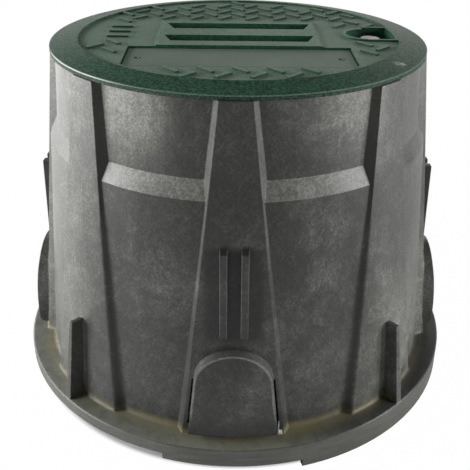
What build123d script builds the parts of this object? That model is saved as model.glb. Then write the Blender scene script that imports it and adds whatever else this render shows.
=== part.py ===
from build123d import *
import os
from math import atan, cos, radians, sin, sqrt

# Round irrigation valve box with a bolt-down lid, in millimetres.
# The origin is on the ground under the middle of the box, +Z is up and the front faces -Y.
# Angles are measured from the front, positive towards +X.

# Heights of the body
body_top = 258.5
flange_top = 20.0
flange_thick = 4.0
seat_thick = 4.0
wall = 4.0

# Raised pilasters: a cone of their own, flared towards the foot
pilaster_count = 8
pilaster_r_foot = 162.0
pilaster_r_top = 139.8
pilaster_half_foot = 33.8
pilaster_half_top = 10.2
pilaster_draft = 28.0

# Recessed wall between the pilasters, with one sloping step: depths behind the pilasters' cone
recess_deep_foot = 5.8
recess_deep_below_step = 2.1
recess_deep_above_step = 6.6
recess_deep_top = 5.2
step_low = 194.0
step_high = 206.5

# Foot flange and its stepped skirt, which interlocks when boxes are stacked foot to foot
flange_reach = 13.0
flange_bevel = 0.8
skirt_thick = 4.0
skirt_half_panel = 16.3
skirt_low = 0.0
skirt_mid = 6.0
skirt_high = 10.8

# Gusset fins on the diagonal pilasters
gusset_thick_foot = 5.6
gusset_thick_top = 3.4
gusset_setback = 0.8
gusset_lean = 8.6
gusset_top = 84.0

# Pairs of retaining ribs above each knock-out
rib_wide = 4.9
rib_pitch = 13.9
rib_proud_low = 1.5
rib_proud_high = 6.2
rib_low = 100.0
rib_high = 163.0
rib_round = 0.8

# Pipe knock-outs
knockout_half_foot = 31.4
knockout_half_spring = 27.0
knockout_low = 24.0
knockout_spring = 67.0
knockout_top = 90.5
knockout_proud_foot = 7.2
knockout_proud_spring = 9.4
knockout_proud_top = 6.8
knockout_lip = 2.6
knockout_wall = 3.4
slit_wide = 1.2
slit_low = 29.0
slit_high = 66.0

# Mouth of the body and the lid that closes it
seat_wide = 7.6
mouth_clearance = 1.0
lid_inset = 1.3
lid_edge = 3.0
lid_crown = 3.3
lid_rim_wide = 20.5
lid_step = 1.5
lid_plate = 4.0
ring_wide = 3.0
ring_deep = 8.0
lid_turn = 1.4

# Grip pad with two finger slots, and the tray below them
pad_inset = 54.0
pad_back = 43.0
pad_front = -40.0
pad_rise = 1.0
pad_slope = 70.0
slot_wide = 17.0
grip_bar = 20.5
grip_middle = 5.3
slot_end_wall = 8.6
slot_taper = 5.6
bar_thick = 6.0
tray_end_wall = 8.0
tray_deep = 18.0
tray_wall = 2.5
tray_spare = 1.0

# Marker plate and its seat
plate_inset_x = 39.6
plate_back = -35.0
plate_inset_front = 34.6
plate_corner = 5.0
plate_thick = 2.4
plate_sunk = 1.4
plate_gap = 0.6
plate_bevel = 0.4
plate_seat_thick = 3.0
plate_pin_inset = 8.8
plate_pin_r = 1.7
plate_pin_hole_r = 2.6

# Tread bars on the lid, a checkerboard of two slants
tread_pitch = 22.5
tread_shift = -3.9
tread_long = 14.2
tread_wide = 3.0
tread_slant = 47.0
tread_near = 0.0
tally_inset = 28.8
tally_middle = 5.8
tally_pitch = 15.0
tally_long = 16.0

# Lock bolt, washer, pocket and clip nut
bolt_inset = 19.0
bolt_aside = 2.6
bolt_r = 4.75
bolt_flats = 14.3
bolt_head = 6.0
bolt_long = 44.0
bolt_below_crown = 3.3
bolt_chamfer = 0.8
bolt_crown_inset = 0.3
washer_r = 9.3
washer_thick = 1.6
hole_clearance = 0.5
pocket_r = 14.5
pocket_inset = 4.0
pocket_y = 1.6
pocket_back = 21.9
pocket_front = -13.9
pocket_edge_wall = 2.0
pocket_floor = 2.6
pocket_wall = 2.5

# Lug inside the body that carries the clip nut
lug_half_y = 13.0
lug_thick = 5.0
lug_reach = 13.0
lug_web = 3.0
lug_web_deep = 22.0
web_nut_gap = 2.0
clip_thick = 1.0
clip_half_y = 9.0
clip_reach = 11.0
nut_r = 8.0
nut_long = 9.0
thread_clearance = 0.1
seat_clearance = 0.8

# Stiffening ribs under the lid
under_rib_wide = 2.5
under_rib_deep = 6.0

# The pilasters' cone, which most of the body's sizes follow
pilaster_slope = (pilaster_r_foot - pilaster_r_top) / (body_top - flange_top)
pilaster_lean = atan(pilaster_slope)


def pilaster_radius(z):
    """Radius of the pilasters' outer face at a height."""
    return pilaster_r_foot - pilaster_slope * (z - flange_top)


# Values that follow from the sizes above
recess_r_foot = pilaster_r_foot - recess_deep_foot
recess_r_below_step = pilaster_radius(step_low) - recess_deep_below_step
recess_r_above_step = pilaster_radius(step_high) - recess_deep_above_step
recess_r_top = pilaster_r_top - recess_deep_top
flange_under = flange_top - flange_thick
flange_r = pilaster_r_foot + flange_reach
gusset_r_foot = flange_r - gusset_setback
gusset_r_top = gusset_r_foot - gusset_lean
rib_r_low = pilaster_radius(rib_low) + rib_proud_low
rib_r_high = pilaster_radius(rib_high) + rib_proud_high
knockout_r = pilaster_radius(knockout_low) + knockout_proud_foot
knockout_r_spring = pilaster_radius(knockout_spring) + knockout_proud_spring
knockout_r_top = pilaster_radius(knockout_top) + knockout_proud_top
mouth_r = recess_r_top - wall - seat_wide
lid_r = pilaster_r_top - lid_inset
lid_rim_r = lid_r - lid_rim_wide
pad_half_x = lid_rim_r - pad_inset
slot_half_far = pad_half_x - slot_end_wall
slot_half_near = slot_half_far - slot_taper
tray_half_x = pad_half_x - tray_end_wall
plate_half_x = lid_rim_r - plate_inset_x
plate_front = plate_inset_front - lid_rim_r
plate_pin_x = plate_half_x - plate_pin_inset
tally_x = tally_inset - lid_rim_r
bolt_far = lid_rim_r - bolt_inset
bolt_x = bolt_far * cos(radians(lid_turn)) - bolt_aside * sin(radians(lid_turn))
bolt_y = bolt_far * sin(radians(lid_turn)) + bolt_aside * cos(radians(lid_turn))
pocket_x = bolt_far - pocket_inset
pocket_edge_r = lid_rim_r - pocket_edge_wall
lug_inner_x = bolt_x - lug_reach
lid_low = body_top
lid_edge_top = lid_low + lid_edge
crown_top = lid_edge_top + lid_crown
field_top = crown_top - lid_step
field_under = field_top - lid_plate
pad_top = field_top + pad_rise
ring_r = mouth_r - mouth_clearance
slot_y = [grip_middle + side * (grip_bar + slot_wide) / 2 for side in (1, -1)]
bolt_head_top = crown_top - bolt_below_crown
washer_top = bolt_head_top - bolt_head
pocket_low = washer_top - washer_thick
pocket_under = pocket_low - pocket_floor
lug_top = pocket_under - seat_clearance - clip_thick
plate_top = field_top - plate_sunk
plate_low = plate_top - plate_thick

# Lengths that only make sure that a cut or a join goes right through
cut_over = 10.0
cut_deep = 60.0
join_over = 1.0
wedge_spare = 30.0
wedge_deep = 16.0


def around(shape, angle):
    """Turn a shape made at the front to an angle about the middle of the box."""
    return Rot(0, 0, angle) * shape


def turned(points):
    """Solid of revolution from a closed outline of (radius, height) points."""
    outline = make_face(Polyline(*[(r, 0, z) for r, z in points], close=True))
    return revolve(outline, Axis.Z, 360)


def recess_core(inset, low, high):
    """The wall between the pilasters as a full solid, moved inwards by inset."""
    slope = (recess_r_foot - recess_r_below_step) / (step_low - flange_top)
    foot = recess_r_foot + slope * (flange_top - low) - inset
    points = [
        (0, low),
        (foot, low),
        (recess_r_below_step - inset, step_low),
        (recess_r_above_step - inset, step_high),
        (recess_r_top - inset, high),
        (0, high),
    ]
    return turned(points)


def pilaster_cone(inset, low, high):
    """The cone that the pilasters' outer faces lie on, as a full solid."""
    low_r = pilaster_radius(low) - inset
    high_r = pilaster_radius(high) - inset
    return turned([(0, low), (low_r, low), (high_r, high), (0, high)])


def pilaster_wedge(narrowing):
    """One drafted trapezoid block at the front, through the wall from outside to inside."""
    length = (body_top - flange_top) / cos(pilaster_lean)
    flare = (pilaster_half_foot - pilaster_half_top) / length
    outside = Plane(
        origin=(0, -pilaster_r_foot, flange_top),
        x_dir=(-1, 0, 0),
        z_dir=(0, cos(pilaster_lean), -sin(pilaster_lean)),
    )
    low_half = pilaster_half_foot + flare * wedge_spare - narrowing
    high_half = pilaster_half_top - flare * wedge_spare - narrowing
    outline = make_face(
        Polyline(
            (-low_half, -wedge_spare),
            (low_half, -wedge_spare),
            (high_half, length + wedge_spare),
            (-high_half, length + wedge_spare),
            close=True,
        )
    )
    return extrude(outside * outline, amount=wedge_deep, taper=-pilaster_draft)


def corrugated(inset, low, high):
    """Outer form of the box, or its hollow when inset by the wall."""
    narrowing = inset / cos(radians(pilaster_draft))
    wedge = pilaster_wedge(narrowing)
    step = 360.0 / pilaster_count
    wedges = Part() + [around(wedge, step * i) for i in range(pilaster_count)]
    return recess_core(inset, low, high) + (wedges & pilaster_cone(inset, low, high))


def arch(half_foot, half_spring, low, top):
    """Front outline of a knock-out, standing on a low edge, as a block through the wall."""
    foot_left = (-half_foot, low)
    foot_right = (half_foot, low)
    spring_right = (half_spring, knockout_spring)
    spring_left = (-half_spring, knockout_spring)
    crown = EllipticalCenterArc(
        (0, knockout_spring), half_spring, top - knockout_spring, start_angle=0, arc_size=180
    )
    sides = Polyline(spring_left, foot_left, foot_right, spring_right)
    outline = make_face([sides, crown])
    front = Plane(origin=(0, -flange_r - cut_over, 0), x_dir=(1, 0, 0), z_dir=(0, -1, 0))
    return extrude(front * outline, amount=-cut_deep)


def knockout(inset):
    """Proud knock-out plate at the front, curved in both directions, or its plainer hollow."""
    top = knockout_top - inset
    low = knockout_low + inset
    root = pilaster_radius(knockout_top) - 2 * wall
    face_start = (knockout_r - inset, low + knockout_lip)
    face_end = (knockout_r_top - inset, top)
    face_middle = (knockout_r_spring - inset, knockout_spring)
    under_lip = (knockout_r - knockout_lip - inset, low)
    base = Polyline(face_end, (root, top), (root, low), under_lip, face_start)
    if inset:
        face = Polyline(face_start, face_middle, face_end)
    else:
        face = ThreePointArc(face_start, face_middle, face_end)
    outline = Plane.XZ * make_face([base, face])
    ring = revolve(outline, Axis.Z, 360)
    half_foot = knockout_half_foot - inset
    half_spring = knockout_half_spring - inset
    return ring & arch(half_foot, half_spring, low - join_over, top)


def knockout_slits():
    """Two through slits beside a knock-out plate, which leave it held at its top and foot."""
    lean = (knockout_half_foot - knockout_half_spring) / (knockout_spring - knockout_low)
    slits = []
    for side in (-1, 1):
        low_x = knockout_half_foot - lean * (slit_low - knockout_low)
        high_x = knockout_half_foot - lean * (slit_high - knockout_low)
        outline = make_face(
            Polyline(
                (side * low_x, slit_low),
                (side * (low_x + slit_wide), slit_low),
                (side * (high_x + slit_wide), slit_high),
                (side * high_x, slit_high),
                close=True,
            )
        )
        front = Plane(origin=(0, -flange_r - cut_over, 0), x_dir=(1, 0, 0), z_dir=(0, -1, 0))
        slits.append(extrude(front * outline, amount=-cut_deep))
    return slits


def retaining_ribs():
    """Pair of ribs on a pilaster, nearly upright, so that they fade into the wall at their foot."""
    root = pilaster_radius(rib_high) - wall / 2
    outline = make_face(
        Polyline(
            (root, rib_low),
            (rib_r_low, rib_low),
            (rib_r_high, rib_high),
            (root, rib_high),
            close=True,
        )
    )
    outer_top = outline.vertices().group_by(Axis.Y)[-1].sort_by(Axis.X)[-1]
    outline = fillet(outer_top, rib_round)
    rib = extrude(Plane.YZ * outline, amount=rib_wide / 2, both=True)
    rib = Rot(0, 0, 180) * rib
    return [Pos(side * rib_pitch / 2, 0, 0) * rib for side in (-1, 1)]


def gusset():
    """Fin from the flange up a diagonal pilaster, thinner and shorter towards its top."""
    root = pilaster_radius(gusset_top) - wall / 2
    outline = make_face(
        Polyline(
            (root, flange_under),
            (gusset_r_foot, flange_under),
            (gusset_r_foot, flange_top),
            (gusset_r_top, gusset_top),
            (root, gusset_top),
            close=True,
        )
    )
    fin = Rot(0, 0, 180) * extrude(Plane.YZ * outline, amount=gusset_thick_foot, both=True)
    foot_half = gusset_thick_foot / 2
    top_half = gusset_thick_top / 2
    front_view = make_face(
        Polyline(
            (-foot_half, flange_under),
            (foot_half, flange_under),
            (top_half, gusset_top),
            (-top_half, gusset_top),
            close=True,
        )
    )
    front = Plane(origin=(0, -flange_r, 0), x_dir=(1, 0, 0), z_dir=(0, -1, 0))
    return fin & extrude(front * front_view, amount=-cut_deep)


def ring_sector(r_in, r_out, low, high, start, end):
    """Part of a ring between two angles from the front."""
    corners = [(r_in, 0, low), (r_out, 0, low), (r_out, 0, high), (r_in, 0, high)]
    outline = make_face(Polyline(*corners, close=True))
    return Rot(0, 0, start - 90) * revolve(outline, Axis.Z, end - start)


def skirt():
    """Edge of the flange that hangs to three levels, in sectors that repeat after half a turn."""
    inner = flange_r - skirt_thick
    high = flange_under + join_over
    near = skirt_half_panel
    far = 90 - skirt_half_panel
    parts = []
    for turn in (0, 180):
        parts.append(ring_sector(inner, flange_r, skirt_low, high, turn + near, turn + far))
        parts.append(ring_sector(inner, flange_r, skirt_high, high, turn - far, turn - near))
    for turn in (0, 90, 180, 270):
        parts.append(ring_sector(inner, flange_r, skirt_mid, high, turn - near, turn + near))
    return parts


def flange():
    """Flat foot flange with its upper edge bevelled."""
    disc = turned([(0, flange_under), (flange_r, flange_under), (flange_r, flange_top), (0, flange_top)])
    return chamfer(disc.edges().group_by(Axis.Z)[-1], flange_bevel)


def lug():
    """Shelf with two webs inside the body, with a hole for the lock bolt."""
    outer_x = recess_r_above_step
    hung = (Align.MIN, Align.CENTER, Align.MAX)
    shelf = Box(outer_x - lug_inner_x, 2 * lug_half_y, lug_thick, align=hung)
    shelf = Pos(lug_inner_x, bolt_y, lug_top) * shelf
    web_outline = make_face(
        Polyline(
            (outer_x, lug_top - lug_thick),
            (lug_inner_x + clip_reach + nut_r + web_nut_gap, lug_top - lug_thick),
            (outer_x, lug_top - lug_thick - lug_web_deep),
            close=True,
        )
    )
    web = extrude(Plane.XZ * web_outline, amount=lug_web / 2, both=True)
    webs = [Pos(0, bolt_y + side * (lug_half_y - lug_web / 2), 0) * web for side in (-1, 1)]
    hole = Cylinder(bolt_r + hole_clearance, 4 * lug_thick)
    return Part() + [shelf] + webs - Pos(bolt_x, bolt_y, lug_top) * hole


def box_body():
    """The whole moulded body in one piece."""
    outside = corrugated(0, flange_under, body_top)
    plate = knockout(0)
    ribs = retaining_ribs()
    fin = gusset()
    extras = []
    for i in range(4):
        extras.append(around(plate, 90 * i))
        extras += [around(rib, 90 * i) for rib in ribs]
        extras.append(around(fin, 45 + 90 * i))
    outside = outside + flange() + extras
    hollow = corrugated(wall, flange_under - join_over, body_top - seat_thick)
    hollow = hollow + [around(knockout(knockout_wall), 90 * i) for i in range(4)]
    mouth = Pos(0, 0, body_top) * Cylinder(mouth_r, 4 * seat_thick)
    shell = outside - hollow - mouth
    slits = [around(slit, 90 * i) for slit in knockout_slits() for i in range(4)]
    shell = shell - slits + skirt()
    shelf = lug() & pilaster_cone(wall / 2, flange_under, body_top)
    return shell + shelf


def pocket_outline(grow):
    """Plan outline of the bolt pocket."""
    lobe = Pos(pocket_x, pocket_y) * Circle(pocket_r + grow)
    middle_y = (pocket_back + pocket_front) / 2
    across = pocket_back - pocket_front + 2 * grow
    wide = Rectangle(pocket_edge_r, across, align=(Align.MIN, Align.CENTER))
    return (lobe + Pos(pocket_x, middle_y) * wide) & Circle(pocket_edge_r + grow)


def block(outline, low, high):
    """Plan outline raised from one height to another."""
    return extrude(Pos(0, 0, low) * outline, amount=high - low)


def slot_outline(y):
    """Plan outline of one finger slot, wider at the back."""
    back = y + slot_wide / 2
    front = y - slot_wide / 2
    far = slot_half_far
    near = slot_half_near
    return make_face(Polyline((-far, back), (far, back), (near, front), (-near, front), close=True))


def plate_outline(grow):
    """Plan outline of the marker plate, with its front corners cut."""
    x = plate_half_x + grow
    back = plate_back + grow
    front = plate_front - grow
    corner = plate_corner
    right = [(x, back), (x, front + corner), (x - corner, front)]
    left = [(corner - x, front), (-x, front + corner), (-x, back)]
    return make_face(Polyline(*right, *left, close=True))


def pad_outline():
    """Plan outline of the raised grip pad, whose front the plate's seat cuts off."""
    middle = (pad_back + pad_front) / 2
    return Pos(0, middle) * Rectangle(2 * pad_half_x, pad_back - pad_front)


def bar_fits(x, y):
    """True where a tread bar lies on the open field of the lid."""
    reach = tread_long / 2 * cos(radians(tread_slant)) + tread_near
    if sqrt(x * x + y * y) + tread_long / 2 > lid_rim_r:
        return False
    on_pad = abs(x) < pad_half_x + reach and pad_front - reach < y < pad_back + reach
    on_plate = abs(x) < plate_half_x + reach and plate_front - reach < y < plate_back + reach
    in_pocket = x > pocket_x - pocket_r - reach and pocket_front - reach < y < pocket_back + reach
    tally_half = tally_pitch * 1.5 + tread_wide
    on_tally = abs(x - tally_x) < tally_long / 2 + reach and abs(y - tally_middle) < tally_half
    return not (on_pad or on_plate or in_pocket or on_tally)


def tread():
    """Slanted bars in a checkerboard, and three level bars beside the grip."""
    bar = Box(tread_long, tread_wide, lid_step + join_over, align=(Align.CENTER, Align.CENTER, Align.MAX))
    bars = []
    for i in range(-11, 12):
        for j in range(-11, 12):
            if (i + j) % 2:
                continue
            x = i * tread_pitch / 2
            y = j * tread_pitch / 2 + tread_shift
            slant = tread_slant if i % 2 else -tread_slant
            if bar_fits(x, y):
                bars.append(Pos(x, y, crown_top) * Rot(0, 0, slant) * bar)
    level = Box(tally_long, tread_wide, lid_step + join_over, align=(Align.CENTER, Align.CENTER, Align.MAX))
    for k in (-1, 0, 1):
        bars.append(Pos(tally_x, tally_middle + k * tally_pitch, crown_top) * level)
    return bars


def lid_blank():
    """Turned form of the lid: rim, field and locating ring."""
    points = [
        (0, field_under),
        (0, field_top),
        (lid_rim_r, field_top),
        (lid_rim_r, crown_top),
        (lid_r, lid_edge_top),
        (lid_r, lid_low),
        (ring_r, lid_low),
        (ring_r, lid_low - ring_deep),
        (ring_r - ring_wide, lid_low - ring_deep),
        (ring_r - ring_wide, field_under),
    ]
    return turned(points)


def under_ribs():
    """Spokes under the lid, from the tray and the plate seat to the locating ring."""
    reach = ring_r - ring_wide / 2
    deep = under_rib_deep + join_over
    spoke = Box(reach, under_rib_wide, deep, align=(Align.MIN, Align.CENTER, Align.MAX))
    return [Pos(0, 0, field_under + join_over) * Rot(0, 0, 22.5 + 45 * i) * spoke for i in range(8)]


def lid():
    """The whole moulded lid in one piece, sitting a little turned on the body."""
    pad_foot = Pos(0, 0, field_top - join_over) * pad_outline()
    pad = extrude(pad_foot, amount=pad_rise + join_over, taper=pad_slope)
    tray_back = slot_y[0] + slot_wide / 2 + tray_spare
    tray_front = slot_y[1] - slot_wide / 2 - tray_spare
    tray_middle = (tray_back + tray_front) / 2
    tray_plan = Rectangle(2 * tray_half_x, tray_back - tray_front)
    tray_low = pad_top - tray_deep
    bar_low = pad_top - bar_thick
    outer_plan = Rectangle(2 * (tray_half_x + tray_wall), tray_back - tray_front + 2 * tray_wall)
    tray_outer = block(Pos(0, tray_middle) * outer_plan, tray_low - tray_wall, field_under + join_over)
    tray_inner = block(Pos(0, tray_middle) * tray_plan, tray_low, bar_low)
    slots = [block(slot_outline(y), bar_low - join_over, pad_top + join_over) for y in slot_y]
    boss = block(pocket_outline(pocket_wall), pocket_under, field_under + join_over)
    lip = block(pocket_outline(pocket_wall), field_top - join_over, crown_top)
    pocket = block(pocket_outline(0), pocket_low, crown_top + join_over)
    bolt_hole = Pos(bolt_far, bolt_aside, pocket_under) * Cylinder(bolt_r + hole_clearance, 2 * cut_over)
    seat_under = plate_low - plate_seat_thick
    plate_floor = block(plate_outline(plate_gap + pocket_wall), seat_under, field_under + join_over)
    plate_seat = block(plate_outline(plate_gap), plate_low, crown_top + join_over)
    pin = Cylinder(plate_pin_r, plate_thick, align=(Align.CENTER, Align.CENTER, Align.MIN))
    plate_y = (plate_back + plate_front) / 2
    pins = [Pos(side * plate_pin_x, plate_y, plate_low) * pin for side in (-1, 1)]
    cover = lid_blank() + [pad, lip, boss, tray_outer, plate_floor] + tread() + under_ribs()
    cover = cover - tray_inner - slots - pocket - bolt_hole - plate_seat
    return around(cover + pins, lid_turn)


def marker_plate():
    """Flat plate on two pins in the lid's seat."""
    plate = block(plate_outline(0), plate_low, plate_top)
    plate = chamfer(plate.edges().group_by(Axis.Z)[-1], plate_bevel)
    plate_y = (plate_back + plate_front) / 2
    hole = Cylinder(plate_pin_hole_r, 4 * plate_thick)
    plate = plate - [Pos(side * plate_pin_x, plate_y, plate_low) * hole for side in (-1, 1)]
    return around(plate, lid_turn)


def lock_bolt():
    """Hex-head bolt, its thread left plain."""
    corner_r = bolt_flats / 2 / cos(radians(30))
    head = extrude(RegularPolygon(corner_r, 6), amount=bolt_head)
    crown_r = bolt_flats / 2 - bolt_crown_inset
    shoulder = bolt_head - bolt_chamfer
    crown = turned([(0, 0), (corner_r, 0), (corner_r, shoulder), (crown_r, bolt_head), (0, bolt_head)])
    shank = Cylinder(bolt_r, bolt_long, align=(Align.CENTER, Align.CENTER, Align.MAX))
    shank = chamfer(shank.edges().group_by(Axis.Z)[0], bolt_chamfer)
    return Pos(bolt_x, bolt_y, washer_top) * ((head & crown) + shank)


def bolt_washer():
    """Flat washer under the bolt head."""
    disc = Cylinder(washer_r, washer_thick, align=(Align.CENTER, Align.CENTER, Align.MAX))
    hole = Cylinder(bolt_r + hole_clearance, 4 * washer_thick)
    return Pos(bolt_x, bolt_y, washer_top) * (disc - hole)


def clip_nut():
    """Folded steel clip round the lug's edge, with a threaded barrel below."""
    leaf_long = bolt_x - lug_inner_x + clip_reach
    high = lug_top + clip_thick
    low = lug_top - lug_thick - clip_thick
    stood = (Align.MIN, Align.CENTER, Align.MIN)
    outer = Box(leaf_long + clip_thick, 2 * clip_half_y, high - low, align=stood)
    gap = Box(leaf_long, 3 * clip_half_y, lug_thick, align=stood)
    fold = Pos(lug_inner_x - clip_thick, bolt_y, low) * outer
    fold = fold - Pos(lug_inner_x, bolt_y, low + clip_thick) * gap
    barrel = Cylinder(nut_r, nut_long, align=(Align.CENTER, Align.CENTER, Align.MAX))
    bore = Cylinder(bolt_r + thread_clearance, 2 * cut_deep)
    return fold + Pos(bolt_x, bolt_y, low) * barrel - Pos(bolt_x, bolt_y, low) * bore


nodes = {
    "box_body": box_body,
    "lid": lid,
    "marker_plate": marker_plate,
    "lock_bolt": lock_bolt,
    "bolt_washer": bolt_washer,
    "clip_nut": clip_nut,
}

os.makedirs("parts", exist_ok=True)
for name, make in nodes.items():
    export_step(make(), f"parts/{name}.step")
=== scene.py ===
import math

import bmesh
import bpy
from mathutils import Matrix, Vector


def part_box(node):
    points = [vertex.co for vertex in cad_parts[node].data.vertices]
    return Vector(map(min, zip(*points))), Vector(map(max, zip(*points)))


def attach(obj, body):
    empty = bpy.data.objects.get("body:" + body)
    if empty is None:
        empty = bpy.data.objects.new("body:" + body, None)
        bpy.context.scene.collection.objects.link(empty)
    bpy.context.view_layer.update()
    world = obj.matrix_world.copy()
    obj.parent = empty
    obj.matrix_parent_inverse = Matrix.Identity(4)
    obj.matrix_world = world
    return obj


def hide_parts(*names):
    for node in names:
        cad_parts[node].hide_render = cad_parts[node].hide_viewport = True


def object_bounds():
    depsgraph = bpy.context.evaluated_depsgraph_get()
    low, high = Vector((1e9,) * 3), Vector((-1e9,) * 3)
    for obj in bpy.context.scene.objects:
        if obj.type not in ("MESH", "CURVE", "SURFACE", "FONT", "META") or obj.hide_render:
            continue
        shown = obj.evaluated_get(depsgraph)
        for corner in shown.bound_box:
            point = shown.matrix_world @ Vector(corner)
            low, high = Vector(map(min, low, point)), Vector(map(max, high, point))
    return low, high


# The looks of a round irrigation valve box with a bolt-down lid, in metres.
# The front faces -Y and +Z is up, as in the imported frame. Angles about the box's upright middle
# line are in degrees, from the front and positive towards +X.

# The picture that the view is matched to, in pixels
picture_wide = 470
focal_px = 754.965
centre_px = (251.72, 200.732)

# The camera that took it, placed from the box's middle on the ground, with its angles in radians
# and its sensor in millimetres
camera_back = 0.562336
camera_high = 0.4022
camera_pitch = 0.458
camera_yaw = 0.021
camera_roll = 0.019
box_turn = 0.010
sensor_wide = 36.0
nearest_seen = 0.01

# Soft panels of light, alike in size, height angle and distance: angle about the box, and watts
panel_size = (0.7, 0.6)
panel_high = 12
panel_far = 1.5
panels = {
    "left_panel": (-75, 21.0),
    "left_side_panel": (-105, 11.0),
    "left_back_panel": (-135, 10.0),
    "right_panel": (75, 18.0),
    "right_back_panel": (135, 3.0),
    "back_panel": (165, 2.5),
}
world_level = 0.1

# The floor, which turns white to the camera between two shares of the box's half width
floor_half = 3.0
floor_gap = 0.0002
floor_grey = (0.9, 0.9, 0.9, 1.0)
white = (1.0, 1.0, 1.0, 1.0)
white_from = 0.96
white_to = 0.98
whiteness = 0.99

# The usual span of a noise, and how corners are found: by the cosine between a face's normal and
# its rounded one, from where a corner starts to where it is whole, with this many samples
noise_span = (0.3, 0.7)
corner_span = (0.985, 0.90)
corner_samples = 6

# The pilasters' cone, as its radius at the ground and its slope, and heights on the body
wall_foot = 0.16387
wall_slope = 0.0931
flange_top = 0.0200
rib_low = 0.1000
rib_high = 0.1630
step_low = 0.1940
step_high = 0.2065

# The knock-outs' arch: its half width and height at the spring, its rise, and its sides' flare
arch_half = 0.0270
arch_spring = 0.0670
arch_rise = 0.0235
arch_flare = 0.1023

# Marks on the body, each with its place, its solid reach and its whole reach
rising_strokes = [((0.063, -0.136, 0.171), 0.004, 0.024), ((0.060, -0.137, 0.136), 0.002, 0.022)]
falling_strokes = ((-0.052, -0.141, 0.142), 0.004, 0.030)
arch_nick = ((0.0262, -0.1635, 0.0765), 0.0006, 0.0016)

# Slanting strokes: how fine they are by axis, and how far two kinds of them lean in radians
stroke_scale = (750.0, 750.0, 75.0)
rising_lean = (0.0, 0.6, 0.0)
falling_lean = (0.0, -0.5, 0.0)

# Colours of the body: bare plastic, its pale film with painted light, painted shade, the flange, its skirt
# and dust
bare_grey = (0.0235, 0.0245, 0.0222)
film_and_sheen_grey = (0.262, 0.262, 0.238)
shade_grey = (0.004, 0.004, 0.004)
flange_grey = (0.190, 0.197, 0.163)
flange_olive = (0.172, 0.176, 0.130)
skirt_grey = (0.172, 0.172, 0.154)
dust_yellow = (0.265, 0.228, 0.115)

# Sizes of the lid, which is turned a little on the box: the radii of its edge and of its rim's
# inner end, the heights of its edge, its field and the marker plate, and the grip pad
lid_turn = math.radians(1.4)
lid_radius = 0.1385
rim_inner = 0.1180
edge_top = 0.2615
field_top = 0.2633
plate_top = 0.2619
pad_half_x = 0.0640
pad_half_y = 0.0430

# The marker plate's seat, by its front edge and its half width
seat_front = -0.0840
seat_half = 0.0790

# Marks on the lid, with the same three values: a scuff and its bright end, and a notch in the rim.
# The marker plate's pins in X and Y have a painted glint a little aside
scuff_middle = ((0.1075, -0.0703, 0.2626), 0.001, 0.006)
scuff_end = ((0.1104, -0.0700, 0.2626), 0.0008, 0.0028)
rim_notch = ((0.1170, -0.0200, 0.2640), 0.0010, 0.0020)
pins = [(0.0710, -0.0575), (-0.0681, -0.0609)]
pin_reach = (0.0014, 0.0022)
glint_aside = 0.0004
glint_reach = (0.0004, 0.0008)

# The angle near which the rim has no film and no painted reflection
least_sheen_rim = -10.0

# Colours of the lid: its plastic, its film with painted reflection, its edge with painted shade and
# painted highlights, painted shadow in the treads and the seat's gap, and its marks with a painted glint
lid_dark = (0.005, 0.029, 0.014)
lid_green = (0.047, 0.155, 0.094)
fleck_green = (0.17, 0.26, 0.20)
deep_dark = (0.010, 0.052, 0.026)
deep_green = (0.026, 0.115, 0.060)
field_film_and_sheen = (0.255, 0.350, 0.272)
rim_film_and_reflection = (0.245, 0.282, 0.242)
shaded_band_dark = (0.003, 0.016, 0.009)
shaded_band_green = (0.040, 0.088, 0.060)
lip_highlight_green = (0.20, 0.32, 0.25)
highlight_white = (0.85, 0.87, 0.84)
shadow_green = (0.004, 0.018, 0.009)
scuff_pale = (0.62, 0.68, 0.64)
pin_dark = (0.004, 0.012, 0.008)
pin_glint = (0.75, 0.80, 0.76)

# Shine of the two green plastics, of the lid and of the marker plate
green_shine = 0.3

# Colours of the marker plate, of torn plastic and of the steel pieces
plate_dark = (0.170, 0.230, 0.186)
plate_pale = (0.225, 0.285, 0.236)
torn_grey = (0.45, 0.45, 0.43)
torn_white = (0.85, 0.85, 0.82)
bolt_tint = (0.50, 0.44, 0.42)
washer_tint = (0.5, 0.47, 0.44)
clip_tint = (0.45, 0.45, 0.44)
blotch_tone = 0.72

# Sliver of torn plastic at the front knock-out: its outlines in X and Z, and its depth in Y
burr_stem = [(0.0312, 0.0244), (0.0324, 0.0244), (0.0319, 0.0300)]
burr_stem += [(0.0321, 0.0335), (0.0314, 0.0335), (0.0313, 0.0290)]
burr_curl = [(0.0320, 0.0244), (0.0343, 0.0246), (0.0340, 0.0256), (0.0322, 0.0258)]
burr_back = -0.1598
burr_front = -0.1632

# Thread of the lock bolt, sixteen turns to the inch, with its crest's edges as shares of the pitch
head_high = 0.006
plain_shank = 0.006
thread_pitch = 0.0015875
thread_crest = 0.00473
thread_root = 0.0039
thread_steps = 24
crest_above = 0.42
crest_below = 0.54


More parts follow.
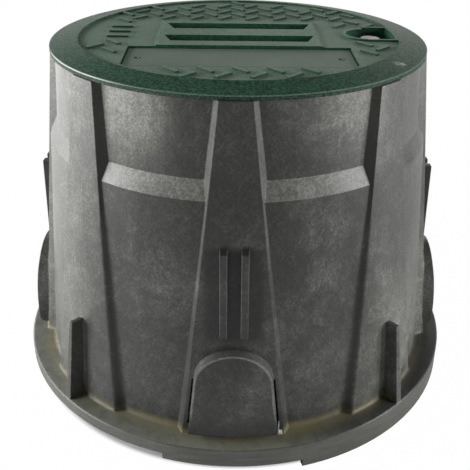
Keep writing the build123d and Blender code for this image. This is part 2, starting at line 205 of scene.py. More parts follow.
class Nodes:
    """A node tree, built from short calls that each return a node or a socket."""

    def __init__(self, owner):
        owner.use_nodes = True
        self.tree = owner.node_tree
        self.tree.nodes.clear()

    def put(self, socket, value):
        """Link a socket or set a plain value, and leave the node's own for None."""
        if isinstance(value, bpy.types.NodeSocket):
            self.tree.links.new(value, socket)
        elif value is not None:
            socket.default_value = value

    def add(self, kind, **inputs):
        """A new node with some of its inputs given by name, a space in a name written as _."""
        node = self.tree.nodes.new(kind)
        for name, value in inputs.items():
            self.put(node.inputs[name.replace("_", " ")], value)
        return node

    def calculate(self, operation, first, second=0.0):
        """Result of one arithmetic operation."""
        node = self.add("ShaderNodeMath")
        node.operation = operation
        self.put(node.inputs[0], first)
        self.put(node.inputs[1], second)
        return node.outputs[0]

    def times(self, first, *others):
        """Product of two or more values."""
        for other in others:
            first = self.calculate("MULTIPLY", first, other)
        return first

    def plus(self, first, second):
        return self.calculate("ADD", first, second)

    def minus(self, first, second):
        return self.calculate("SUBTRACT", first, second)

    def over(self, first, second):
        return self.calculate("DIVIDE", first, second)

    def larger(self, first, second):
        return self.calculate("MAXIMUM", first, second)

    def smaller(self, first, second):
        return self.calculate("MINIMUM", first, second)

    def absolute(self, value):
        return self.calculate("ABSOLUTE", value)

    def hypotenuse(self, first, second):
        """Root of the sum of two squares."""
        squares = self.plus(self.times(first, first), self.times(second, second))
        return self.calculate("SQRT", squares)

    def between(self, value, low, high, start=0.0, end=1.0):
        """Smooth step of a value from start at low to end at high."""
        node = self.add("ShaderNodeMapRange", Value=value)
        node.interpolation_type = "SMOOTHSTEP"
        node.inputs["From Min"].default_value = low
        node.inputs["From Max"].default_value = high
        node.inputs["To Min"].default_value = start
        node.inputs["To Max"].default_value = end
        return node.outputs["Result"]

    def band(self, value, low, rise, fall, high):
        """1 from rise to fall, fading to 0 at low and at high."""
        return self.times(self.between(value, low, rise), self.between(value, high, fall))

    def varied(self, noise, start, end):
        """The usual span of a noise stretched from start to end."""
        return self.between(noise, *noise_span, start, end)

    def faded(self, mask, left):
        """1 outside a mask and the share left inside it."""
        return self.between(mask, 0.0, 1.0, 1.0, left)

    def mix(self, factor, first, second):
        """Colour between two colours, each a socket or three plain values."""
        node = self.add("ShaderNodeMix")
        node.data_type = "RGBA"
        self.put(node.inputs["Factor"], factor)
        self.put(node.inputs["A"], (*first, 1.0) if isinstance(first, tuple) else first)
        self.put(node.inputs["B"], (*second, 1.0) if isinstance(second, tuple) else second)
        return node.outputs["Result"]

    def mix_shaders(self, factor, first, second):
        """Shader between two shaders."""
        node = self.add("ShaderNodeMixShader")
        for socket, value in zip(node.inputs, (factor, first, second)):
            self.put(socket, value)
        return node.outputs[0]

    def seen_directly(self):
        """1 for what the camera sees itself, 0 for light that goes round the scene."""
        return self.add("ShaderNodeLightPath").outputs["Is Camera Ray"]


class Surface(Nodes):
    """The nodes of a material, which tell places by the object's own coordinates."""

    def __init__(self, name):
        self.material = bpy.data.materials.new(name)
        super().__init__(self.material)
        self.place = self.add("ShaderNodeTexCoord").outputs["Object"]

    def axes(self, vector=None):
        """The three parts of a vector, or of the place in the object."""
        return self.add("ShaderNodeSeparateXYZ", Vector=vector or self.place).outputs

    def stretched(self, scale, turn=(0, 0, 0)):
        """The object's own coordinates, turned and then scaled by axis."""
        node = self.add("ShaderNodeMapping")
        node.vector_type = "TEXTURE"
        self.put(node.inputs["Vector"], self.place)
        node.inputs["Rotation"].default_value = turn
        node.inputs["Scale"].default_value = tuple(1.0 / s for s in scale)
        return node.outputs[0]

    def noise(self, scale, detail=3.0, rough=0.5, distortion=0.0, vector=None):
        """Random pattern about one half, finer for a larger scale."""
        node = self.add("ShaderNodeTexNoise", Scale=scale, Detail=detail, Roughness=rough)
        self.put(node.inputs["Vector"], vector or self.place)
        self.put(node.inputs["Distortion"], distortion)
        return node.outputs["Fac"]

    def ridges(self, noise, width):
        """Thin lines where a noise crosses its middle."""
        off = self.absolute(self.minus(noise, 0.5))
        return self.between(off, width / 2, 0.0)

    def spot(self, place, near, far):
        """1 within near of a place, fading to 0 at far."""
        node = self.add("ShaderNodeVectorMath")
        node.operation = "DISTANCE"
        self.put(node.inputs[0], self.place)
        self.put(node.inputs[1], place)
        return self.between(node.outputs["Value"], far, near)

    def bump(self, height, distance, strength, normal):
        """Normal tilted by a pattern of heights."""
        node = self.add("ShaderNodeBump", Strength=strength, Distance=distance)
        self.put(node.inputs["Height"], height)
        self.put(node.inputs["Normal"], normal)
        return node.outputs[0]

    def rounded(self, radius):
        """Normal that rounds the edges, as a mould's corners are."""
        node = self.add("ShaderNodeBevel", Radius=radius)
        node.samples = corner_samples
        return node.outputs[0]

    def finish(self, colour, roughness, normal, **plain):
        """Join everything to the material's shader."""
        shader = self.add("ShaderNodeBsdfPrincipled", Base_Color=colour, Roughness=roughness, **plain)
        self.put(shader.inputs["Normal"], normal)
        self.add("ShaderNodeOutputMaterial", Surface=shader.outputs[0])
        return self.material


class RoundSurface(Surface):
    """A surface that also knows where a place lies on the round box, and which way it faces."""

    def __init__(self, name):
        super().__init__(name)
        self.x, self.y, self.height = self.axes()
        self.radius = self.hypotenuse(self.x, self.y)
        turn = self.calculate("ARCTAN2", self.x, self.times(self.y, -1.0))
        self.around = self.times(turn, math.degrees(1.0))
        self.apart = self.absolute(self.around)
        self.facing = self.add("ShaderNodeNewGeometry").outputs["Normal"]
        self.up = self.axes(self.facing)[2]

    def radial(self, facing):
        """How far a face looks along the round, from 0 on a turned wall to 1 on a radial one."""
        face = self.axes(facing)
        across = self.minus(self.times(face[1], self.x), self.times(face[0], self.y))
        return self.absolute(self.over(across, self.radius))

    def corners(self, round_normal):
        """1 along the edges and corners, where the rounded normal leaves the face's own."""
        node = self.add("ShaderNodeVectorMath")
        node.operation = "DOT_PRODUCT"
        self.put(node.inputs[0], round_normal)
        self.put(node.inputs[1], self.facing)
        return self.between(node.outputs["Value"], *corner_span)


class BodyPlastic(RoundSurface):
    """Recycled grey-black plastic, cloudy and scuffed, with dust where walls meet the flange, painted light
    and highlights on lit faces and edges, and painted shade in places.
    """

    def __init__(self):
        super().__init__("body_plastic")
        self.make_grain()
        self.find_walls()
        self.find_corners()
        film_and_sheen = self.thinned(self.grainy(self.gathered_film_and_sheen()))
        colour = self.mix(self.smaller(film_and_sheen, 1.0), bare_grey, film_and_sheen_grey)
        colour = self.mix(self.shade(), shade_grey, colour)
        colour = self.with_dust(self.with_flange(colour))
        roughness = self.varied(self.blotches, 0.38, 0.48)
        normal = self.bump(self.noise(30.0), 0.0006, 0.3, self.soft_normal)
        normal = self.bump(self.speckle, 0.00012, 0.35, normal)
        self.finish(colour, roughness, normal)

    def make_grain(self):
        """The plastic's noises, from its broad clouds to its slanting strokes and hair lines."""
        self.clouds = self.noise(11.0, 6.0, 0.6, 1.2)
        self.blotches = self.noise(95.0, 6.0, 0.66, 0.7)
        self.speckle = self.noise(640.0, 3.0, 0.7, 0.3)
        self.streaks = self.noise(1.0, 4.0, 0.6, 0.4, self.stretched((340.0, 340.0, 34.0)))
        self.rising = self.noise(1.0, 4.0, 0.7, 0.8, self.stretched(stroke_scale, rising_lean))
        self.falling = self.noise(1.0, 4.0, 0.7, 0.8, self.stretched(stroke_scale, falling_lean))
        self.hairs = self.ridges(self.noise(85.0, 3.0, 0.5, 1.0), 0.035)

    def find_walls(self):
        """How far a place stands out of the pilasters' cone, and what part of the body it is on."""
        cone = self.plus(self.radius, self.times(self.height, wall_slope))
        self.proud = self.minus(cone, wall_foot)
        self.flush = self.between(self.proud, 0.0012, 0.0004)
        self.on_wall = self.between(self.proud, 0.0020, 0.0010)
        self.aside = self.smaller(self.absolute(self.x), self.absolute(self.y))
        self.ribbed = self.times(
            self.band(self.height, rib_low - 0.012, rib_low + 0.005, rib_high - 0.003, rib_high + 0.005),
            self.between(self.aside, 0.025, 0.014),
        )
        self.flange = self.between(self.height, flange_top + 0.0006, flange_top + 0.0001)
        self.level = self.between(self.up, 0.6, 0.9)

    def find_corners(self):
        """Corners, which are soft low on the walls beside the front, faces that turn away, and the diagonal
        pilasters' sides that get painted shade.
        """
        self.soft = self.times(
            self.between(self.height, 0.185, 0.150),
            self.between(self.apart, 14.0, 17.0),
            self.on_wall,
        )
        self.soft_normal = self.rounded(self.between(self.soft, 0.0, 1.0, 0.0010, 0.0050))
        self.edges = self.corners(self.soft_normal)
        self.turned_away = self.between(self.radial(self.soft_normal), 0.5, 0.8)
        self.shaded_sides = self.times(
            self.turned_away,
            self.band(self.apart, 27.0, 32.0, 44.0, 50.0),
            self.on_wall,
        )

    def gathered_film_and_sheen(self):
        """Pale film in clouds everywhere, thinner at the back, with painted light on the fields and sides,
        light edges partly rubbed and partly painted highlight, painted highlights on the arches, and pale
        strokes and a nick.
        """
        film_and_sheen = self.times(
            self.between(self.clouds, 0.36, 0.74),
            self.between(self.blotches, 0.34, 0.66, 0.5, 1.0),
            self.between(self.apart, 70.0, 110.0, 0.22, 0.10),
        )
        places = self.field_film_and_sheen() + self.side_light() + self.edge_wear_and_highlights() + self.arch_highlights() + self.strokes()
        for place, strength in places:
            film_and_sheen = self.plus(film_and_sheen, self.times(place, strength))
        return self.plus(film_and_sheen, self.times(self.hairs, self.between(self.clouds, 0.35, 0.65), 0.10))

    def field_film_and_sheen(self):
        """Painted light on the fields: painted highlights on the step bevels, painted light on the upper
        parts by the diagonal pilasters, and a little paler at their foot.
        """
        steep = self.between(self.up, 0.7, 0.5)
        bevel = self.times(
            self.between(self.up, 0.25, 0.4),
            self.between(self.height, step_low - 0.004, step_low - 0.001),
            self.between(self.height, step_high + 0.0055, step_high + 0.0015),
            self.between(self.apart, 46.0, 42.0),
        )
        left = self.times(
            self.band(self.around, -41.0, -36.0, -26.0, -13.0),
            self.between(self.height, 0.196, 0.250),
            steep,
        )
        right = self.times(
            self.band(self.around, 10.0, 36.0, 40.0, 44.0),
            self.between(self.height, 0.190, 0.250),
            steep,
        )
        foot = self.times(
            self.between(self.apart, 13.0, 20.0),
            self.between(self.height, 0.12, 0.06),
            self.flush,
        )
        return [
            (bevel, self.between(self.apart, 22.0, 42.0, 0.58, 0.36)),
            (left, 0.66),
            (right, 0.36),
            (foot, self.between(self.around, -30.0, 40.0, 0.05, 0.085)),
        ]

    def side_light(self):
        """Painted light on the left and right sides and on the front pilaster's flanks, and paler walls
        under the lid.
        """
        left = self.times(
            self.band(self.around, -110.0, -75.0, -52.0, -34.0),
            self.between(self.height, -0.20, 0.20),
            self.between(self.up, 0.30, 0.20, 0.55, 1.0),
            self.flush,
        )
        right = self.times(
            self.between(self.around, 34.0, 46.0),
            self.between(self.height, -0.06, 0.10),
            self.flush,
        )
        flanks = self.times(self.turned_away, self.between(self.apart, 18.0, 14.0))
        top = self.between(self.height, 0.20, 0.25)
        return [
            (left, self.between(self.height, 0.190, 0.245, 0.39, 0.31)),
            (right, self.between(self.height, 0.17, 0.06, 0.11, 0.36)),
            (flanks, self.between(self.height, 0.12, 0.20, 0.0, 0.20)),
            (top, self.between(self.apart, 12.0, 20.0, 0.07, 0.05)),
        ]

    def edge_wear_and_highlights(self):
        """Light edges, partly rubbed and partly painted highlight, a little film on the diagonal fins, and
        painted highlight lines on the ribs' outlines.
        """
        sharp = self.times(self.edges, self.between(self.soft, 1.0, 0.0))
        fins = self.times(
            self.between(self.proud, 0.0010, 0.0020),
            self.band(self.apart, 36.0, 40.0, 50.0, 54.0),
        )
        rib_lines = self.times(
            self.edges,
            self.ribbed,
            self.between(self.proud, 0.0003, 0.0010),
            self.between(self.height, rib_low + 0.0005, rib_low + 0.0035, 0.2, 1.0),
        )
        return [
            (sharp, self.between(self.proud, 0.0010, 0.0020, 0.10, 0.30)),
            (fins, 0.09),
            (rib_lines, self.between(self.height, 0.10, 0.155, 0.35, 0.95)),
        ]

    def arch_highlights(self):
        """Painted light on the knock-outs' lip and a painted highlight line inside it, by the share of the
        way out to the arch.
        """
        over_spring = self.minus(self.height, arch_spring)
        half = self.plus(arch_half, self.times(self.smaller(over_spring, 0.0), -arch_flare))
        upward = self.times(self.larger(over_spring, 0.0), 1.0 / arch_rise)
        out = self.hypotenuse(self.over(self.aside, half), upward)
        plate = self.times(self.between(self.height, 0.026, 0.062), self.between(self.proud, 0.0003, 0.0008))
        lip = self.times(plate, self.band(out, 0.970, 0.985, 1.03, 1.05))
        line = self.times(plate, self.band(out, 0.935, 0.955, 0.975, 0.995))
        return [(lip, 0.14), (line, 0.60)]

    def strokes(self):
        """Patches of slanting strokes on the fields, and a nick at the front knock-out's arch."""
        rising = self.between(self.rising, 0.38, 0.62, 0.04, 0.26)
        falling = self.between(self.falling, 0.40, 0.64, 0.0, 0.16)
        patches = [(self.spot(*stroke), rising) for stroke in rising_strokes]
        return patches + [(self.spot(*falling_strokes), falling), (self.spot(*arch_nick), 0.9)]

    def grainy(self, film_and_sheen):
        """The film broken up by the grain. Strokes rise in the blotches and fall between them."""
        film_and_sheen = self.times(
            film_and_sheen,
            self.varied(self.blotches, 0.80, 1.20),
            self.between(self.speckle, 0.38, 0.62, 0.70, 1.30),
            self.varied(self.streaks, 0.85, 1.15),
        )
        blotched = self.between(self.blotches, 0.40, 0.62)
        dots = self.between(self.speckle, 0.44, 0.64, 0.0, 0.09)
        rising = self.plus(dots, self.between(self.rising, 0.46, 0.62, 0.0, 0.07))
        falling = self.between(self.falling, 0.50, 0.62, 0.0, 0.07)
        film_and_sheen = self.plus(film_and_sheen, self.times(rising, self.plus(0.25, blotched)))
        return self.plus(film_and_sheen, self.times(falling, self.minus(1.0, blotched)))

    def thinned(self, film_and_sheen):
        """Little film and painted light on the diagonal pilasters' shaded sides, and a trace of painted
        light on them near the lid.
        """
        film_and_sheen = self.times(film_and_sheen, self.faded(self.shaded_sides, 0.3))
        return self.plus(film_and_sheen, self.times(self.shaded_sides, self.between(self.height, 0.16, 0.24), 0.10))

    def shade(self):
        """Painted shade at the foot of the front knock-out's plate, on the diagonal pilasters' sides, beside
        the ribs, in a patch beside the front pilaster at its right and on the flange towards the right, from
        0 where all is shade to 1 where nothing changes.
        """
        plate_foot = self.times(
            self.between(self.height, 0.056, 0.024),
            self.between(self.apart, 14.0, 12.0),
            self.between(self.up, 0.6, 0.4),
        )
        beside_ribs = self.times(self.ribbed, self.between(self.proud, 0.0012, 0.0003, 0.45, 1.0))
        # Painted shade in a patch beside the front pilaster at its right, broken by the blotches
        shaded_patch = self.times(
            self.band(self.around, 7.5, 9.5, 14.0, 24.0),
            self.band(self.height, 0.115, 0.150, 0.176, 0.192),
            self.between(self.blotches, 0.3, 0.6, 0.5, 1.0),
        )
        flange_right = self.times(self.flange, self.between(self.around, 30.0, 60.0))
        return self.times(
            self.faded(plate_foot, 0.36),
            self.faded(self.shaded_sides, 0.85),
            self.faded(beside_ribs, 0.3),
            self.faded(shaded_patch, 0.55),
            self.faded(flange_right, 0.30),
        )

    def with_flange(self, colour):
        """The flange, its level top paler at the front and left as dust-like film and painted light, and its
        skirt with faint rings.
        """
        # Dust-like film and painted light on the flange's level top, most at the front and left
        shown = self.times(
            self.between(self.around, 45.0, 5.0, 0.0, 0.95),
            self.between(self.around, -75.0, -40.0, 0.6, 1.0),
            self.varied(self.blotches, 0.7, 1.3),
            self.varied(self.speckle, 0.85, 1.15),
        )
        tone = self.mix(self.between(self.clouds, 0.4, 0.6), flange_grey, flange_olive)
        colour = self.mix(self.times(self.flange, self.level, shown), colour, tone)
        rings = self.noise(1.0, 4.0, 0.6, 0.3, self.stretched((45.0, 45.0, 900.0)))
        skirt = self.times(self.flange, self.between(self.up, 0.6, 0.2), self.varied(rings, 0.36, 0.64))
        return self.mix(skirt, colour, skirt_grey)

    def with_dust(self, colour):
        """Dust along the foot of the walls, on them and on the flange."""
        on_flange = self.times(self.level, self.flange, self.between(self.radius, 0.170, 0.160))
        on_foot = self.times(
            self.between(self.up, 0.6, 0.4),
            self.between(self.height, flange_top + 0.0065, flange_top + 0.0005),
            self.between(self.radius, 0.172, 0.168),
        )
        dust = self.times(
            self.plus(on_flange, on_foot),
            self.between(self.clouds, 0.3, 0.6, 0.3, 0.9),
            self.between(self.around, 40.0, 70.0, 1.0, 0.15),
            0.7,
        )
        return self.mix(dust, colour, dust_yellow)


class LidPlastic(RoundSurface):
    """Green plastic with a grey film and painted reflection on its level faces, painted shade and highlights
    at its edge, and painted shadow on the tread bars' sides and in the seat's gap.
    """

    def __init__(self):
        super().__init__("lid_plastic")
        self.clouds = self.noise(14.0, 6.0, 0.6, 0.8)
        self.mottle = self.noise(520.0, 5.0, 0.75)
        self.speckle = self.noise(900.0, 3.0, 0.7)
        self.level = self.between(self.up, 0.90, 0.99)
        self.inside = self.between(self.radius, rim_inner + 0.0005, rim_inner - 0.0015)
        self.on_rim = self.between(self.radius, rim_inner - 0.0015, rim_inner + 0.0005)
        colour = self.with_film_and_reflection(self.with_tread_shade(self.green()))
        colour = self.with_seat_shadow(self.with_edge(colour))
        colour = self.with_pins(self.with_scuff(colour))
        roughness = self.varied(self.mottle, 0.60, 0.74)
        normal = self.bump(self.mottle, 0.00018, 0.5, self.rounded(0.0005))
        self.finish(colour, roughness, normal, Specular_IOR_Level=green_shine)

    def green(self):
        """Mottled green with pale flecks on the rim, and a clearer green on upright and deep faces."""
        colour = self.mix(self.between(self.mottle, 0.41, 0.61), lid_dark, lid_green)
        flecks = self.times(
            self.between(self.speckle, 0.58, 0.70),
            self.between(self.up, 0.7, 0.9),
            self.on_rim,
            0.5,
        )
        colour = self.mix(flecks, colour, fleck_green)
        deep = self.between(self.height, edge_top - 0.0030, edge_top - 0.0045)
        upright = self.times(self.between(self.up, 0.6, 0.3), self.inside)
        clear = self.mix(self.between(self.mottle, 0.40, 0.62), deep_dark, deep_green)
        return self.mix(self.larger(upright, deep), colour, clear)

    def with_tread_shade(self, colour):
        """Painted shade on the upright faces of the tread bars, which lie outside the grip pad."""
        outside_pad = self.larger(
            self.between(self.absolute(self.y), pad_half_y + 0.001, pad_half_y + 0.005),
            self.between(self.absolute(self.x), pad_half_x + 0.016, pad_half_x + 0.020),
        )
        # Painted shade on the tread bars' upright faces, stronger away from the front
        tread_shade = self.times(
            outside_pad,
            self.between(self.up, 0.7, 0.4),
            self.between(self.height, field_top - 0.0007, field_top - 0.0001),
            self.inside,
            self.between(self.apart, 30.0, 60.0, 0.15, 0.5),
        )
        return self.mix(tread_shade, colour, shadow_green)

    def with_film_and_reflection(self, colour):
        """Grey film and painted reflection on the level faces of the field and the pad, and on the rim away
        from the front.
        """
        film_and_sheen = self.times(
            self.level,
            self.inside,
            self.between(self.height, edge_top - 0.0015, edge_top),
            self.between(self.clouds, 0.25, 0.7, 0.75, 1.0),
            self.between(self.mottle, 0.38, 0.62, 0.76, 1.10),
            self.varied(self.speckle, 0.92, 1.08),
            0.9,
        )
        colour = self.mix(film_and_sheen, colour, field_film_and_sheen)
        from_least_sheen = self.absolute(self.minus(self.around, least_sheen_rim))
        # Film and painted reflection on the rim's level faces, more away from the front
        rim = self.times(
            self.level,
            self.on_rim,
            self.between(from_least_sheen, 25.0, 130.0, 0.0, 0.92),
            self.between(self.mottle, 0.38, 0.62, 0.55, 1.08),
        )
        return self.mix(rim, colour, rim_film_and_reflection)

    def with_edge(self, colour):
        """Edge band darkened as painted shade, with a painted highlight line on its top corner and a
        near-white painted highlight at the left.
        """
        # Painted shade on the lid's upright edge band, dotted by the speckle
        band = self.times(
            self.between(self.radius, lid_radius - 0.0025, lid_radius - 0.0015),
            self.between(self.height, edge_top - 0.0002, edge_top - 0.0006),
        )
        # Painted highlight line on the edge's top corner
        lip = self.times(
            self.between(self.radius, lid_radius - 0.0011, lid_radius - 0.0005),
            self.between(self.height, edge_top - 0.0007, edge_top - 0.0002),
        )
        dotted = self.mix(self.between(self.speckle, 0.42, 0.62), shaded_band_dark, shaded_band_green)
        colour = self.mix(band, colour, dotted)
        colour = self.mix(self.times(lip, self.varied(self.mottle, 0.3, 0.7)), colour, lip_highlight_green)
        # Near-white painted highlight on the lip at the left
        white_highlight = self.times(lip, self.band(self.around, -74.0, -58.0, -42.0, -26.0), 0.75)
        return self.mix(white_highlight, colour, highlight_white)

    def with_seat_shadow(self, colour):
        """Painted shadow in the gap at the front of the marker plate's seat."""
        axes = self.axes(self.stretched((1.0, 1.0, 1.0), (0.0, 0.0, lid_turn)))
        # Painted shadow line in the gap in front of the seat
        gap = self.times(
            self.between(axes[1], seat_front - 0.0010, seat_front - 0.0005),
            self.between(axes[1], seat_front + 0.0008, seat_front + 0.0003),
            self.between(self.absolute(axes[0]), seat_half, seat_half - 0.0008),
            0.75,
        )
        return self.mix(gap, colour, shadow_green)

    def with_scuff(self, colour):
        """A pale scuff on the rim at the right."""
        scuff = self.times(self.spot(*scuff_middle), self.between(self.speckle, 0.46, 0.58))
        end = self.times(self.spot(*scuff_end), self.between(self.speckle, 0.36, 0.52))
        return self.mix(self.larger(scuff, end), colour, scuff_pale)

    def with_pins(self, colour):
        """A dark notch on the rim, and the marker plate's pins with a painted glint in the middle of each.
        """
        dark = self.spot(*rim_notch)
        glint = 0.0
        for x, y in pins:
            dark = self.larger(dark, self.spot((x, y, plate_top), *pin_reach))
            # Painted glint on each pin
            glint = self.larger(glint, self.spot((x + glint_aside, y, plate_top), *glint_reach))
        colour = self.mix(self.times(dark, 0.85), colour, pin_dark)
        return self.mix(glint, colour, pin_glint)


def plate_plastic():
    """The marker plate's green plastic, smoother and greyer than the lid."""
    surface = Surface("plate_plastic")
    clouds = surface.noise(16.0, 5.0, 0.6, 0.6)
    mottle = surface.noise(330.0, 4.0, 0.6)
    colour = surface.mix(surface.between(clouds, 0.25, 0.75), plate_dark, plate_pale)
    normal = surface.bump(mottle, 0.00006, 0.3, surface.rounded(0.0004))
    return surface.finish(colour, surface.varied(mottle, 0.62, 0.72), normal, Specular_IOR_Level=green_shine)


def torn_plastic():
    """Stress-whitened edge of torn plastic."""
    surface = Surface("pale_plastic")
    streak = surface.noise(1.0, 3.0, 0.6, 0.0, surface.stretched((2500.0, 2500.0, 500.0)))
    colour = surface.mix(surface.varied(streak, 0.0, 1.0), torn_grey, torn_white)
    return surface.finish(colour, 0.4, None)


def steel(name, tint, smooth, rough):
    """Plated steel with faint blotches."""
    surface = Surface(name)
    blotch = surface.noise(220.0, 4.0, 0.6)
    darker = tuple(blotch_tone * part for part in tint)
    colour = surface.mix(surface.between(blotch, 0.35, 0.7), darker, tint)
    normal = surface.bump(surface.noise(1500.0, 2.0), 0.00004, 0.3, surface.rounded(0.0003))
    return surface.finish(colour, surface.varied(blotch, smooth, rough), normal, Metallic=1.0)


def dress(node, material):
    """Give a carried-over piece its material."""
    if not node.material_slots:
        node.data.materials.append(material)
    for place in node.material_slots:
        place.link = "OBJECT"
        place.material = material


def new_object(name, mesh, material):
    """An object in the scene with one material."""
    mesh.materials.append(material)
    thing = bpy.data.objects.new(name, mesh)
    bpy.context.scene.collection.objects.link(thing)
    return thing


def make_burr(material):
    """Curled sliver of plastic at the foot of the front knock-out's right slit."""
    points = []
    faces = []
    for outline in (burr_stem, burr_curl):
        first = len(points)
        count = len(outline)
        points += [(x, y, z) for y in (burr_back, burr_front) for x, z in outline]
        faces.append([first + count + i for i in range(count)])
        faces.append([first + i for i in reversed(range(count))])
        for i in range(count):
            j = (i + 1) % count
            faces.append([first + i, first + j, first + count + j, first + count + i])
    mesh = bpy.data.meshes.new("knockout_burr")
    mesh.from_pydata(points, [], faces)
    burr = new_object("knockout_burr", mesh, material)
    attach(burr, "box")


def thread_profiles(shape, middle, top, low):
    """A thread's root and its crest's two edges, step by step round the shank and down it."""
    profiles = []
    for i in range(int((top - low - thread_pitch) / thread_pitch * thread_steps) + 1):
        angle = 2 * math.pi * i / thread_steps
        profile = []
        for radius, down in ((thread_root, 0.0), (thread_crest, crest_above), (thread_crest, crest_below)):
            x = middle.x + radius * math.cos(angle)
            y = middle.y + radius * math.sin(angle)
            z = top - thread_pitch * i / thread_steps - down * thread_pitch
            profile.append(shape.verts.new((x, y, z)))
        profiles.append(profile)
    return profiles


def add_thread(shape, middle, top, low):
    """A thread's faces from a height down to the bolt's end, which a fan closes."""
    profiles = thread_profiles(shape, middle, top, low)
    for i in range(len(profiles) - 1):
        this, following = profiles[i:i + 2]
        shape.faces.new((this[0], following[0], following[1], this[1]))
        shape.faces.new((this[1], following[1], following[2], this[2]))
        if i + thread_steps + 1 < len(profiles):
            below, following_below = profiles[i + thread_steps:i + thread_steps + 2]
            shape.faces.new((this[2], following[2], following_below[0], below[0]))
    tip = [profile[0] for profile in profiles[-thread_steps:]]
    end = shape.verts.new((middle.x, middle.y, low))
    for i in range(thread_steps):
        shape.faces.new((tip[i], tip[(i + 1) % thread_steps], end))


def make_threaded_bolt(material):
    """The lock bolt with its head as in the CAD and a rolled thread on its shank."""
    low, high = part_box("lock_bolt")
    thread_top = high.z - head_high - plain_shank
    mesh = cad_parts["lock_bolt"].data.copy()
    mesh.materials.clear()
    shape = bmesh.new()
    shape.from_mesh(mesh)
    everything = shape.verts[:] + shape.edges[:] + shape.faces[:]
    bmesh.ops.bisect_plane(
        shape, geom=everything, plane_co=(0, 0, thread_top), plane_no=(0, 0, 1), clear_inner=True
    )
    add_thread(shape, (low + high) / 2, thread_top, low.z)
    bmesh.ops.recalc_face_normals(shape, faces=shape.faces[:])
    shape.to_mesh(mesh)
    shape.free()
    bolt = new_object("threaded_bolt", mesh, material)
    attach(bolt, "bolt")
    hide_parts("lock_bolt")


def turned(vector):
    """A direction or place in the picture's frame, turned to the box's own frame."""
    return Matrix.Rotation(box_turn, 3, "Z") @ Vector(vector)


def make_camera():
    """The camera of the picture, with the part of its frame that the picture keeps."""
    forward = Vector((
        math.sin(camera_yaw) * math.cos(camera_pitch),
        math.cos(camera_yaw) * math.cos(camera_pitch),
        -math.sin(camera_pitch),
    ))
    level = Vector((math.cos(camera_yaw), -math.sin(camera_yaw), 0))
    upright = level.cross(forward)
    right = level * math.cos(camera_roll) + upright * math.sin(camera_roll)
    up = upright * math.cos(camera_roll) - level * math.sin(camera_roll)
    axes = Matrix([turned(right), turned(up), turned(-forward)]).transposed()
    data = bpy.data.cameras.new("camera")
    data.sensor_width = sensor_wide
    data.lens = sensor_wide * focal_px / picture_wide
    data.shift_x = 0.5 - centre_px[0] / picture_wide
    data.shift_y = centre_px[1] / picture_wide - 0.5
    data.clip_start = nearest_seen
    camera = bpy.data.objects.new("camera", data)
    camera.matrix_world = Matrix.Translation(turned((0, -camera_back, camera_high))) @ axes.to_4x4()
    bpy.context.scene.collection.objects.link(camera)
    bpy.context.scene.camera = camera


def make_lamps():
    """Soft panels round the box, aimed at its middle."""
    aim = (low_corner + high_corner) / 2
    rise = math.radians(panel_high)
    for name, (around, power) in panels.items():
        data = bpy.data.lights.new(name, "AREA")
        data.shape = "RECTANGLE"
        data.size, data.size_y = panel_size
        data.energy = power
        lamp = bpy.data.objects.new(name, data)
        turn = math.radians(around)
        back = Vector((math.sin(turn) * math.cos(rise), -math.cos(turn) * math.cos(rise), math.sin(rise)))
        lamp.location = aim + back * panel_far
        lamp.rotation_euler = (-back).to_track_quat("-Z", "Y").to_euler()
        bpy.context.scene.collection.objects.link(lamp)


def make_world():
    """Even dim surroundings, plain white behind the box."""
    world = bpy.data.worlds.new("studio")
    bpy.context.scene.world = world
    nodes = Nodes(world)
    dim = nodes.add("ShaderNodeBackground", Color=white, Strength=world_level).outputs[0]
    plain = nodes.add("ShaderNodeBackground", Color=white, Strength=1.0).outputs[0]
    nodes.add("ShaderNodeOutputWorld", Surface=nodes.mix_shaders(nodes.seen_directly(), dim, plain))


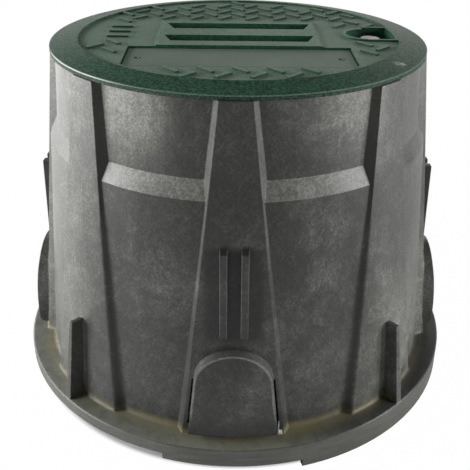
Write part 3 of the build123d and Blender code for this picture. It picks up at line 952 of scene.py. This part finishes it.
def floor_material():
    """Matt and shaded under the box, white to the camera outside its foot, and clear from below."""
    surface = Surface("floor")
    matt = surface.add("ShaderNodeBsdfDiffuse", Color=floor_grey).outputs[0]
    plain = surface.add("ShaderNodeEmission", Strength=1.0).outputs[0]
    length = surface.add("ShaderNodeVectorMath")
    length.operation = "LENGTH"
    surface.put(length.inputs[0], surface.place)
    outside = surface.add("ShaderNodeMapRange", Value=length.outputs["Value"], To_Max=whiteness)
    outside.inputs["From Min"].default_value = white_from * high_corner.x
    outside.inputs["From Max"].default_value = white_to * high_corner.x
    share = surface.times(surface.seen_directly(), outside.outputs["Result"])
    seen_from_above = surface.mix_shaders(share, matt, plain)
    clear = surface.add("ShaderNodeBsdfTransparent").outputs[0]
    below = surface.add("ShaderNodeNewGeometry").outputs["Backfacing"]
    surface.add("ShaderNodeOutputMaterial", Surface=surface.mix_shaders(below, seen_from_above, clear))
    return surface.material


def make_floor():
    """Pale floor that keeps a faint contact shadow."""
    corners = [(x * floor_half, y * floor_half, 0) for x, y in ((-1, -1), (1, -1), (1, 1), (-1, 1))]
    mesh = bpy.data.meshes.new("floor")
    mesh.from_pydata(corners, [], [(0, 1, 2, 3)])
    floor = new_object("floor", mesh, floor_material())
    floor.location.z = low_corner.z - floor_gap


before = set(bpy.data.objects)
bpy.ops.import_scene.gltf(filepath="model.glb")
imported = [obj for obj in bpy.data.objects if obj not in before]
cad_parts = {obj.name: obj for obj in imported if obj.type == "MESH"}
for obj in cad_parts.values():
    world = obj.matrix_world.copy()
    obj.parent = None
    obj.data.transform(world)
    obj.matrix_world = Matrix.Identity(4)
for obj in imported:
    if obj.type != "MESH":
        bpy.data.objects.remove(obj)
low_corner, high_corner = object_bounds()

materials = {
    "box_body": BodyPlastic().material,
    "lid": LidPlastic().material,
    "marker_plate": plate_plastic(),
    "lock_bolt": steel("bolt_steel", bolt_tint, 0.30, 0.45),
    "bolt_washer": steel("washer_steel", washer_tint, 0.35, 0.5),
    "clip_nut": steel("clip_steel", clip_tint, 0.3, 0.45),
}
for name, material in materials.items():
    dress(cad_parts[name], material)
make_threaded_bolt(materials["lock_bolt"])
make_burr(torn_plastic())

make_camera()
make_lamps()
make_world()
make_floor()

view = bpy.context.scene.view_settings
view.view_transform = "Standard"
